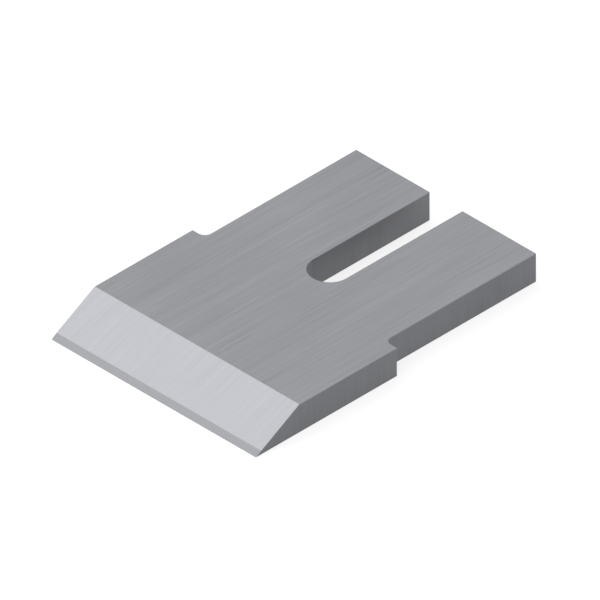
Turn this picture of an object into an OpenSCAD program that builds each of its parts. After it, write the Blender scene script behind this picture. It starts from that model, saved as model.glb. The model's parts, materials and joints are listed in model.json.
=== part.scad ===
// Shredder blade: one piece of hardened steel plate with a bevelled cutting edge across the front
// of a wide head, two shoulders, and a narrower shank that an open bolt slot splits into a fork.
// The blade lies on its flat back. The origin is at the middle of its length and width on that back,
// +X runs along the cutting edge, +Y from the cutting edge to the fork, and +Z up to the bevelled side.

/* [Plate] */
// Thickness of the plate
thickness = 12; // [8:0.5:20]
// Chamfer that takes the sharpness off every edge of the outline
edge_break = 0.2; // [0.1:0.1:1]

/* [Head] */
// Width of the head, which is the length of the cutting edge
head_width = 100; // [70:1:160]
// Length of the head, from the cutting edge to the shoulders
head_length = 69; // [50:1:110]

/* [Shank] */
// Length of the shank, from the shoulders to the rear end
shank_length = 74; // [50:1:120]
// Step from the side of the head in to the side of the shank
shoulder_step = 6; // [5:0.5:10]
// Radius of the corner between shoulder and shank
shoulder_radius = 3; // [1:0.5:4]

/* [Bolt slot] */
// Width of the slot, which takes the clamping bolt
slot_width = 16; // [8:0.5:26]
// Depth of the slot, from the rear end to the bottom of its round end
slot_depth = 65; // [40:1:80]

/* [Cutting edge] */
// Angle between the main bevel and the flat back
bevel_angle = 29; // [22:0.5:32]
// Angle between the narrow edge bevel and the flat back
edge_bevel_angle = 33; // [33:0.5:45]
// Width of the edge bevel, along its slope
edge_bevel_width = 3; // [1:0.5:5]

/* [Hidden] */
$fn = 96;

// How far a cutter reaches past the faces that it cuts
overcut = 1;
// Length of plate in front of the cutting edge that the bevels take away
front_stock = edge_break + overcut;

overall_length = head_length + shank_length;
front_y = -overall_length / 2;
rear_y = overall_length / 2;
shoulder_y = front_y + head_length;

shank_width = head_width - 2 * shoulder_step;
slot_radius = slot_width / 2;
slot_centre_y = rear_y - slot_depth + slot_radius;

edge_bevel_run = edge_bevel_width * cos(edge_bevel_angle);
edge_bevel_rise = edge_bevel_width * sin(edge_bevel_angle);
bevel_start_y = front_y + edge_bevel_run;
bevel_heel_y = bevel_start_y + (thickness - edge_bevel_rise) / tan(bevel_angle);

// Extrudes a section drawn in X and Z along Y
module along_y(length) {
    rotate([90, 0, 0])
        linear_extrude(height = length, center = true)
            children();
}

// Extrudes a section drawn in Y and Z along X
module along_x(length) {
    rotate([90, 0, 90])
        linear_extrude(height = length, center = true)
            children();
}

// Rectangle from its middle, with its four corners cut off by the edge break
module broken_rectangle(width, height) {
    x = width / 2;
    y = height / 2;
    polygon([
        [-x + edge_break, -y], [x - edge_break, -y], [x, -y + edge_break], [x, y - edge_break],
        [x - edge_break, y], [-x + edge_break, y], [-x, y - edge_break], [-x, -y + edge_break]
    ]);
}

// Stretch of plate, centred across the blade, with all its edges broken
module plate(width, from_y, to_y) {
    length = to_y - from_y;
    translate([0, (from_y + to_y) / 2, thickness / 2])
        intersection() {
            along_y(length) broken_rectangle(width, thickness);
            along_x(width) broken_rectangle(length, thickness);
            linear_extrude(height = thickness, center = true) broken_rectangle(width, length);
        }
}

// Half of the section of an opening through the plate: a straight wall that flares at both faces
module flared_half_section(half_width) {
    flare = half_width + edge_break + overcut;
    polygon([
        [0, -overcut], [flare, -overcut], [half_width, edge_break],
        [half_width, thickness - edge_break], [flare, thickness + overcut], [0, thickness + overcut]
    ]);
}

// Cutter for a round wall with both its edges broken
module flared_bore(radius) {
    rotate_extrude() flared_half_section(radius);
}

// Rounded corner between a shoulder and the side of the shank, on the +X side
module shoulder_corner() {
    side_x = shank_width / 2;
    block = shoulder_radius + edge_break;
    difference() {
        translate([side_x - edge_break, shoulder_y - edge_break, 0])
            cube([block, block, thickness]);
        translate([side_x + shoulder_radius, shoulder_y + shoulder_radius, 0])
            flared_bore(shoulder_radius);
    }
}

// Cutter for the open slot: a round end, a straight channel and a mouth with its corners broken
module bolt_slot() {
    channel_length = rear_y + overcut - slot_centre_y;
    translate([0, slot_centre_y, 0])
        flared_bore(slot_radius);
    translate([0, slot_centre_y + channel_length / 2, 0])
        along_y(channel_length) {
            flared_half_section(slot_radius);
            mirror([1, 0]) flared_half_section(slot_radius);
        }
    mouth = slot_radius + edge_break + overcut;
    translate([0, 0, -overcut])
        linear_extrude(height = thickness + 2 * overcut)
            polygon([
                [-slot_radius, rear_y - edge_break], [slot_radius, rear_y - edge_break],
                [mouth, rear_y + overcut], [-mouth, rear_y + overcut]
            ]);
}

// Cutter for the main bevel and the steeper edge bevel, which meet the flat back at the cutting edge
module bevels() {
    past_front = front_y - front_stock - overcut;
    along_x(head_width + 2 * overcut)
        polygon([
            [past_front, -overcut],
            [front_y - overcut / tan(edge_bevel_angle), -overcut],
            [bevel_start_y, edge_bevel_rise],
            [bevel_heel_y + overcut / tan(bevel_angle), thickness + overcut],
            [past_front, thickness + overcut]
        ]);
}

// The blade: head and shank in one plate, less the slot and the bevels
module blade() {
    color([0.6, 0.604, 0.62])
        difference() {
            union() {
                plate(head_width, front_y - front_stock, shoulder_y);
                plate(shank_width, bevel_heel_y, rear_y);
                shoulder_corner();
                mirror([1, 0, 0]) shoulder_corner();
            }
            bolt_slot();
            bevels();
        }
}

blade();
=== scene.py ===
"""Shredder blade of ground steel, with a bevelled cutting edge and a forked shank, on a pale floor."""
import json
import math

import bmesh
import bpy
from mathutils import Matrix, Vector


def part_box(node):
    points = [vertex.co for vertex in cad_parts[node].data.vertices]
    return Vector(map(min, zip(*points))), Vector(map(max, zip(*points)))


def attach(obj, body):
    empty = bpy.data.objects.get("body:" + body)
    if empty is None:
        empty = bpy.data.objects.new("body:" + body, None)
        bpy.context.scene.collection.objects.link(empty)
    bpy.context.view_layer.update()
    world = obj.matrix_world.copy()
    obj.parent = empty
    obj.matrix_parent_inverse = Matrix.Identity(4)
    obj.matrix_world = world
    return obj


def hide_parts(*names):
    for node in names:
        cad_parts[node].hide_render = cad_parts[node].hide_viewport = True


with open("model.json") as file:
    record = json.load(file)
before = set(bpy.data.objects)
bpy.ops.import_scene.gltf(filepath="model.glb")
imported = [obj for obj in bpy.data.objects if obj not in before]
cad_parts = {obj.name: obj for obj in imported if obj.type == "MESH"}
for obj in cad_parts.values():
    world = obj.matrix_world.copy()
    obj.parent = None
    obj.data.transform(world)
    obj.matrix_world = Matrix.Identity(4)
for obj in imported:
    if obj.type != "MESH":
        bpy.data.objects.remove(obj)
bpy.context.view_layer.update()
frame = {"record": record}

# Sizes that the frame states, in metres
LOW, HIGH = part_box("blade")
MOUNTS = {mount["name"]: mount for mount in frame["record"]["mounts"]}
BOLT_SLOT = MOUNTS["bolt_slot"]
THICKNESS = HIGH.z - LOW.z
HEAD_HALF_WIDTH = HIGH.x
CUTTING_EDGE_Y = LOW.y
REAR_Y = HIGH.y
SHOULDER_Y = MOUNTS["shoulder_right"]["pos_m"][1]
SLOT_RADIUS = BOLT_SLOT["dims"]["r_mm"] / 1000
SLOT_BOTTOM_Y = BOLT_SLOT["pos_m"][1] - SLOT_RADIUS
EDGE_BREAK = (THICKNESS - BOLT_SLOT["dims"]["length_mm"] / 1000) / 2

# Sizes that the frame leaves open
SHANK_HALF_WIDTH = 0.044
SHOULDER_RADIUS = 0.003
BEVEL_ANGLE = math.radians(29)
EDGE_BEVEL_ANGLE = math.radians(33)
EDGE_BEVEL_WIDTH = 0.003
# Length of plate in front of the cutting edge that the bevels take away
FRONT_STOCK = 0.002

# How finely round corners are drawn, and how close counts as the same place
SLOT_STEPS = 24
SHOULDER_STEPS = 10
EDGE_BREAK_STEPS = 3
NEAR = 1e-6

# Angles up to which faces count as one flat or as one curve, and from which their edge is sharp
FLAT_UP_TO = math.radians(1)
SMOOTH_UP_TO = math.radians(35)
SHARP_FROM = math.radians(45)

# The UV map that the finishes are baked onto, and the gap between its islands as a share of its side
MAP_NAME = "OFBake"
MAP_GAP = 0.004
# Where the broken upright corners begin, on their two sides
CORNER_XS = (HEAD_HALF_WIDTH - EDGE_BREAK, SHANK_HALF_WIDTH - EDGE_BREAK, SLOT_RADIUS + EDGE_BREAK)
CORNER_YS = (SHOULDER_Y - EDGE_BREAK, REAR_Y - EDGE_BREAK)

# Cool grey of bare steel
STEEL_TINT = (0.98, 0.995, 1.05)
# How far the grinding lines on the bevel lean from the blade's length
GRIND_SKEW = math.radians(9)
# Material slot of the broken edges, which comes first
BROKEN_EDGE_SLOT = 0

# Where the photograph shows the middle of the cutting edge, in its 600 pixel frame, and its scale
PHOTO_SIDE = 600
EDGE_MIDDLE_PIXEL = (153.74, 398.61)
PIXELS_PER_METRE = 2893
VIEW_AZIMUTH = math.radians(45)
VIEW_ELEVATION = math.atan(math.sqrt(0.5))
CAMERA_DISTANCE = 1.0

# Side of the floor, and how far it lies below the blade's back, so that the two share no plane
FLOOR_SIDE = 6.0
FLOOR_GAP = 2e-5


def find_socket(sockets, key):
    """The socket with that name, or that number, among those that the node's settings leave open."""
    left_open = (socket for socket in sockets if not socket.is_unavailable)
    for number, socket in enumerate(left_open):
        if key in (number, socket.name):
            return socket
    return None


class Shade:
    """A node's output, with Python's operators for shader maths, so that 1 - mask adds a Math node."""

    def __init__(self, tree, output=None):
        self.tree = tree
        self.output = output

    def node(self, kind, settings=None, inputs=None, output=0):
        """Adds a node, sets it up, and fills its sockets, by name or number, with values or links."""
        node = self.tree.nodes.new(kind)
        for name, value in (settings or {}).items():
            setattr(node, name, value)
        for key, value in (inputs or {}).items():
            socket = find_socket(node.inputs, key)
            if isinstance(value, Shade):
                self.tree.links.new(value.output, socket)
            else:
                socket.default_value = value
        return Shade(self.tree, find_socket(node.outputs, output))

    def maths(self, operation, first, second):
        return self.node("ShaderNodeMath", {"operation": operation}, {0: first, 1: second})

    def __add__(self, other):
        return self.maths("ADD", self, other)

    def __radd__(self, other):
        return self.maths("ADD", other, self)

    def __sub__(self, other):
        return self.maths("SUBTRACT", self, other)

    def __rsub__(self, other):
        return self.maths("SUBTRACT", other, self)

    def __mul__(self, other):
        return self.maths("MULTIPLY", self, other)

    def __rmul__(self, other):
        return self.maths("MULTIPLY", other, self)

    def __or__(self, other):
        return self.maths("MAXIMUM", self, other)


def new_material(name):
    """An empty material, and a pen that adds nodes to it."""
    material = bpy.data.materials.new(name)
    material.use_nodes = True
    material.node_tree.nodes.clear()
    return material, Shade(material.node_tree)


def tool_marks(pen, reach, seed, detail=2.0, skew=0.0):
    """Noise about 0, drawn out to its reach along X, Y and Z in metres, and turned by skew about Z."""
    place = pen.node("ShaderNodeTexCoord", output="Object")
    turned = pen.node("ShaderNodeMapping", inputs={"Vector": place, "Rotation": (0, 0, skew)})
    stretched = pen.node(
        "ShaderNodeMapping",
        inputs={"Vector": turned, "Scale": [1 / length for length in reach], "Location": [seed] * 3},
    )
    noise = pen.node(
        "ShaderNodeTexNoise",
        settings={"noise_dimensions": "3D"},
        inputs={"Vector": stretched, "Scale": 1.0, "Detail": detail, "Roughness": 0.6},
    )
    return 2 * noise - 1


def strongest(pen, marks, least, most):
    """0 over most of the surface, rising to 1 where the marks rise from least to most."""
    return pen.node(
        "ShaderNodeMapRange",
        inputs={"Value": marks, "From Min": least, "From Max": most, "To Min": 0.0, "To Max": 1.0},
    )


def bare_steel(material, pen, marks, roughness, tone, contrast, relief):
    """Steel whose colour and relief follow its tool marks. relief is their depth in metres."""
    dark = [tone * tint * (1 - contrast) for tint in STEEL_TINT] + [1]
    bright = [tone * tint * (1 + contrast) for tint in STEEL_TINT] + [1]
    colour = pen.node(
        "ShaderNodeMix",
        settings={"data_type": "RGBA"},
        inputs={"Factor": 0.5 + 0.5 * marks, "A": dark, "B": bright},
    )
    bump = pen.node("ShaderNodeBump", inputs={"Strength": 1.0, "Distance": relief, "Height": marks})
    steel = pen.node(
        "ShaderNodeBsdfPrincipled",
        inputs={"Base Color": colour, "Metallic": 1.0, "Roughness": roughness, "Normal": bump},
    )
    pen.node("ShaderNodeOutputMaterial", inputs={"Surface": steel})
    return material


def ground_face():
    """The flat faces: surface ground along the blade, with the bands that the wheel's feed leaves."""
    material, pen = new_material("ground_face")
    fine_lines = tool_marks(pen, reach=(0.0006, 0.04, 0.04), seed=1.0, detail=3.0)
    coarse_lines = tool_marks(pen, reach=(0.0016, 0.08, 0.08), seed=3.0)
    feed_bands = tool_marks(pen, reach=(0.006, 0.5, 0.5), seed=5.0, detail=1.0)
    clouds = tool_marks(pen, reach=(0.035, 0.05, 0.05), seed=9.0)
    scratches = tool_marks(pen, reach=(0.0007, 0.03, 0.03), seed=11.0, detail=0.0)
    grit_lines = strongest(pen, scratches, least=0.45, most=0.6)
    marks = 0.5 * fine_lines + 0.5 * coarse_lines + 0.4 * feed_bands + 0.35 * clouds - 0.35 * grit_lines
    roughness = 0.42 + 0.08 * feed_bands - 0.06 * fine_lines
    return bare_steel(material, pen, marks, roughness, tone=0.323, contrast=0.2, relief=1.2e-5)


def ground_bevel():
    """The main bevel: ground across the cutting edge, finer than the flat faces. Its brighter tone is
    partly that finer grinding and partly a painted highlight.
    """
    material, pen = new_material("ground_bevel")
    lines = tool_marks(pen, reach=(0.0006, 0.03, 0.03), seed=13.0, detail=3.0, skew=GRIND_SKEW)
    passes = tool_marks(pen, reach=(0.005, 0.2, 0.2), seed=17.0, detail=1.0, skew=GRIND_SKEW)
    marks = 0.6 * lines + 0.4 * passes
    roughness = 0.36 + 0.06 * passes - 0.05 * lines
    # Tone set above the flat faces': partly the finer grinding, partly a painted highlight.
    return bare_steel(material, pen, marks, roughness, tone=0.4, contrast=0.13, relief=9e-6)


def honed_edge():
    """The narrow edge bevel: honed along the cutting edge. Its tone, darker than the main bevel's, is
    painted shade.
    """
    material, pen = new_material("honed_edge")
    lines = tool_marks(pen, reach=(0.02, 0.0005, 0.0005), seed=21.0)
    patches = tool_marks(pen, reach=(0.012, 0.004, 0.004), seed=25.0)
    marks = 0.6 * lines + 0.4 * patches
    roughness = 0.34 + 0.05 * patches
    # Tone darker than the main bevel's, as painted shade.
    return bare_steel(material, pen, marks, roughness, tone=0.285, contrast=0.12, relief=5e-6)


def cut_contour():
    """The sides, ends and slot walls: cut from plate, with upright cutting lines under a dull skin. Their
    dark tone is partly that skin and partly painted shade.
    """
    material, pen = new_material("cut_contour")
    place = pen.node("ShaderNodeTexCoord", output="Object")
    height = pen.node("ShaderNodeSeparateXYZ", inputs={"Vector": place}, output="Z")
    towards_bottom = 1 - height * (1 / THICKNESS)
    fine_lines = tool_marks(pen, reach=(0.0007, 0.0007, 0.012), seed=29.0)
    coarse_lines = tool_marks(pen, reach=(0.0018, 0.0018, 0.03), seed=31.0)
    skin = tool_marks(pen, reach=(0.02, 0.02, 0.008), seed=33.0, detail=4.0)
    lines = 0.5 * fine_lines + (0.2 + 0.6 * towards_bottom) * coarse_lines
    marks = lines + 0.4 * skin
    roughness = 0.5 + 0.1 * skin
    # Low tone: partly the dull cut skin, partly painted shade on the sides.
    return bare_steel(material, pen, marks, roughness, tone=0.188, contrast=0.16, relief=2.5e-5)


def broken_edge():
    """The small rounding along every edge of the outline."""
    material, pen = new_material("broken_edge")
    marks = tool_marks(pen, reach=(0.004, 0.004, 0.004), seed=37.0, detail=4.0)
    roughness = 0.4 + 0.06 * marks
    return bare_steel(material, pen, marks, roughness, tone=0.28, contrast=0.15, relief=4e-6)


def pick(part, test):
    """Selects the vertices, edges or faces, in edit mode, that pass the test."""
    bpy.ops.mesh.select_mode(type=part)
    bpy.ops.mesh.select_all(action="DESELECT")
    mesh = bmesh.from_edit_mesh(bpy.context.edit_object.data)
    for element in {"VERT": mesh.verts, "EDGE": mesh.edges, "FACE": mesh.faces}[part]:
        if test(element):
            element.select_set(True)
    mesh.select_flush_mode()
    bmesh.update_edit_mesh(bpy.context.edit_object.data)


def at(value, place):
    return abs(value - place) < NEAR


def middle(edge):
    return (edge.verts[0].co + edge.verts[1].co) / 2


def is_flat(face):
    return abs(face.normal.z) > 1 - NEAR


def is_bevel(face, angle):
    return face.normal.dot(Vector((0, -math.sin(angle), math.cos(angle)))) > 1 - NEAR


def is_ground_bevel(face):
    return is_bevel(face, BEVEL_ANGLE)


def is_honed_edge(face):
    return is_bevel(face, EDGE_BEVEL_ANGLE)


def is_wall(face):
    return abs(face.normal.z) < NEAR


def is_outline_edge(edge):
    """True for the sharp edges of the plate that no bevel was ground into."""
    ground = any(is_ground_bevel(face) or is_honed_edge(face) for face in edge.link_faces)
    return not ground and edge.calc_face_angle() > SHARP_FROM


def is_map_seam(edge):
    """True round each ground face, and on both sides of each broken upright corner."""
    if any(is_flat(face) or is_ground_bevel(face) or is_honed_edge(face) for face in edge.link_faces):
        return True
    first, second = (vertex.co for vertex in edge.verts)
    if any(at(abs(first.x), x) and at(abs(second.x), x) for x in CORNER_XS):
        return True
    return any(at(first.y, y) and at(second.y, y) for y in CORNER_YS)


def extrude(x, y, z):
    bpy.ops.mesh.extrude_region_move(TRANSFORM_OT_translate={"value": (x, y, z)})


def draw_half_outline():
    """One half of the outline, flat on the floor: the head, with the shank and its prong behind it."""
    stock_y = CUTTING_EDGE_Y - FRONT_STOCK
    bpy.ops.object.select_all(action="DESELECT")
    bpy.ops.mesh.primitive_plane_add(
        size=1, location=(HEAD_HALF_WIDTH / 2, (stock_y + SHOULDER_Y) / 2, LOW.z)
    )
    blade = bpy.context.object
    blade.name = "shredder_blade"
    blade.scale = (HEAD_HALF_WIDTH, SHOULDER_Y - stock_y, 1)
    bpy.ops.object.transform_apply(location=True, rotation=True, scale=True)
    bpy.ops.object.mode_set(mode="EDIT")
    for x in (SLOT_RADIUS, SHANK_HALF_WIDTH):
        bpy.ops.mesh.select_all(action="SELECT")
        bpy.ops.mesh.bisect(plane_co=(x, 0, 0), plane_no=(1, 0, 0), threshold=NEAR)
    pick("EDGE", lambda edge: at(middle(edge).y, SHOULDER_Y) and middle(edge).x < SHANK_HALF_WIDTH)
    extrude(0, SLOT_BOTTOM_Y - SHOULDER_Y, 0)
    pick("EDGE", lambda edge: at(middle(edge).y, SLOT_BOTTOM_Y) and middle(edge).x > SLOT_RADIUS)
    extrude(0, REAR_Y - SLOT_BOTTOM_Y, 0)
    bpy.ops.object.mode_set(mode="OBJECT")
    return blade


def mirror_outline(blade):
    """Both halves of the outline as one flat face."""
    mirror = blade.modifiers.new("other_half", "MIRROR")
    mirror.merge_threshold = NEAR
    bpy.ops.object.modifier_apply(modifier=mirror.name)
    bpy.ops.object.mode_set(mode="EDIT")
    bpy.ops.mesh.select_all(action="SELECT")
    bpy.ops.mesh.dissolve_limited(angle_limit=FLAT_UP_TO)


def round_corner(x, y, radius, steps):
    """Rounds the two corners of the outline at x and -x."""
    pick("VERT", lambda vertex: at(abs(vertex.co.x), x) and at(vertex.co.y, y))
    bpy.ops.mesh.bevel(offset=radius, segments=steps, affect="VERTICES", clamp_overlap=False)
    bpy.ops.mesh.select_all(action="SELECT")
    bpy.ops.mesh.remove_doubles(threshold=NEAR)


def cut_plate():
    """The plate as it is cut: the outline with its round corners, at the full thickness."""
    blade = draw_half_outline()
    mirror_outline(blade)
    round_corner(SHANK_HALF_WIDTH, SHOULDER_Y, SHOULDER_RADIUS, SHOULDER_STEPS)
    round_corner(SLOT_RADIUS, SLOT_BOTTOM_Y, SLOT_RADIUS, SLOT_STEPS)
    extrude(0, 0, THICKNESS)
    bpy.ops.mesh.select_all(action="SELECT")
    bpy.ops.mesh.normals_make_consistent(inside=False)
    return blade


def grind(y, z, angle):
    """Grinds a bevel at that angle to the flat back, through the line along X at y and z."""
    bpy.ops.mesh.select_all(action="SELECT")
    bpy.ops.mesh.bisect(
        plane_co=(0, y, z),
        plane_no=(0, -math.sin(angle), math.cos(angle)),
        use_fill=True,
        clear_outer=True,
        threshold=NEAR,
    )


def grind_bevels():
    """The steep, narrow bevel at the cutting edge itself, and the main bevel behind it."""
    edge_bevel_run = EDGE_BEVEL_WIDTH * math.cos(EDGE_BEVEL_ANGLE)
    edge_bevel_rise = EDGE_BEVEL_WIDTH * math.sin(EDGE_BEVEL_ANGLE)
    grind(CUTTING_EDGE_Y, LOW.z, EDGE_BEVEL_ANGLE)
    grind(CUTTING_EDGE_Y + edge_bevel_run, LOW.z + edge_bevel_rise, BEVEL_ANGLE)


def finish_faces(blade):
    """Gives each face its finish. No face has that of the broken edges yet."""
    finishes = {
        broken_edge(): lambda face: False,
        cut_contour(): is_wall,
        ground_face(): is_flat,
        ground_bevel(): is_ground_bevel,
        honed_edge(): is_honed_edge,
    }
    for slot, (finish, wears_it) in enumerate(finishes.items(), BROKEN_EDGE_SLOT):
        blade.data.materials.append(finish)
        pick("FACE", wears_it)
        blade.active_material_index = slot
        bpy.ops.object.material_slot_assign()


def break_edges():
    """Takes the sharpness off every edge of the outline."""
    pick("EDGE", is_outline_edge)
    bpy.ops.mesh.bevel(
        offset=EDGE_BREAK, segments=EDGE_BREAK_STEPS, clamp_overlap=False, material=BROKEN_EDGE_SLOT
    )


def lay_out_map(blade):
    """Unfolds the surface onto its map, each wall in one piece round its curves and square to the map."""
    blade.data.uv_layers.active.name = MAP_NAME
    pick("EDGE", is_map_seam)
    bpy.ops.mesh.mark_seam()
    bpy.ops.mesh.select_all(action="SELECT")
    bpy.ops.uv.unwrap(method="ANGLE_BASED", margin=MAP_GAP)
    bpy.ops.uv.select_all(action="SELECT")
    bpy.ops.uv.align_rotation(method="AUTO")
    bpy.ops.uv.align_rotation(method="GEOMETRY", axis="Z")
    bpy.ops.uv.pack_islands(rotate_method="CARDINAL", margin=MAP_GAP)


def model_blade():
    """The blade, made as a maker does: cut from plate, its bevels ground and its edges broken."""
    blade = cut_plate()
    grind_bevels()
    finish_faces(blade)
    break_edges()
    lay_out_map(blade)
    bpy.ops.object.mode_set(mode="OBJECT")
    bpy.ops.object.shade_smooth_by_angle(angle=SMOOTH_UP_TO)
    weighted = blade.modifiers.new("flat_faces_stay_flat", "WEIGHTED_NORMAL")
    weighted.keep_sharp = True
    bpy.ops.object.modifier_apply(modifier=weighted.name)
    return blade


def seen(pen):
    """1 for what the camera, a reflection or a glass shows, and 0 for the light that falls on things."""
    camera = pen.node("ShaderNodeLightPath", output="Is Camera Ray")
    reflection = pen.node("ShaderNodeLightPath", output="Is Glossy Ray")
    glass = pen.node("ShaderNodeLightPath", output="Is Transmission Ray")
    return camera | reflection | glass


def light_world(ambient):
    """A white surround that lights the blade softly."""
    world = bpy.data.worlds.new("white_surround")
    world.use_nodes = True
    world.node_tree.nodes.clear()
    bpy.context.scene.world = world
    pen = Shade(world.node_tree)
    strength = ambient + (1 - ambient) * seen(pen)
    surround = pen.node("ShaderNodeBackground", inputs={"Color": (1, 1, 1, 1), "Strength": strength})
    pen.node("ShaderNodeOutputWorld", inputs={"Surface": surround})


def lay_floor(colour, glow):
    """A pale floor that reads as white and keeps the blade's shadow."""
    bpy.ops.object.select_all(action="DESELECT")
    bpy.ops.mesh.primitive_plane_add(size=FLOOR_SIDE, location=(0, 0, LOW.z - FLOOR_GAP))
    floor = bpy.context.object
    floor.name = "studio_floor"
    material, pen = new_material("pale_floor")
    matt = pen.node("ShaderNodeBsdfDiffuse", inputs={"Color": (colour, colour, colour, 1)})
    light = pen.node("ShaderNodeEmission", inputs={"Strength": glow * seen(pen)})
    both = pen.node("ShaderNodeAddShader", inputs={0: matt, 1: light})
    pen.node("ShaderNodeOutputMaterial", inputs={"Surface": both})
    floor.data.materials.append(material)


def hang_softbox(name, place, side, watts):
    """A square softbox at that place, turned to the blade."""
    bpy.ops.object.light_add(type="AREA", location=place)
    softbox = bpy.context.object
    softbox.name = name
    softbox.data.size = side
    softbox.data.energy = watts
    softbox.rotation_euler = Vector(place).to_track_quat("Z", "Y").to_euler()


def set_camera():
    """A parallel view at the photograph's angle, with the cutting edge where the photograph has it."""
    back = Vector((
        math.sin(VIEW_AZIMUTH) * math.cos(VIEW_ELEVATION),
        -math.cos(VIEW_AZIMUTH) * math.cos(VIEW_ELEVATION),
        math.sin(VIEW_ELEVATION),
    ))
    turn = back.to_track_quat("Z", "Y")
    right = turn @ Vector((1, 0, 0))
    up = turn @ Vector((0, 1, 0))
    edge_middle = Vector((0, CUTTING_EDGE_Y, LOW.z))
    across = (PHOTO_SIDE / 2 - EDGE_MIDDLE_PIXEL[0]) / PIXELS_PER_METRE
    above = (EDGE_MIDDLE_PIXEL[1] - PHOTO_SIDE / 2) / PIXELS_PER_METRE
    bpy.ops.object.camera_add(
        location=edge_middle + across * right + above * up + CAMERA_DISTANCE * back,
        rotation=turn.to_euler(),
    )
    camera = bpy.context.object
    camera.data.type = "ORTHO"
    camera.data.ortho_scale = PHOTO_SIDE / PIXELS_PER_METRE
    bpy.context.scene.camera = camera


blade = model_blade()
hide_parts("blade")
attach(blade, "root")

set_camera()
light_world(ambient=0.5)
lay_floor(colour=0.8, glow=0.65)
hang_softbox("key_softbox", place=(-0.94, -0.55, 1.25), side=1.5, watts=4.2)
bpy.context.scene.view_settings.view_transform = "Standard"
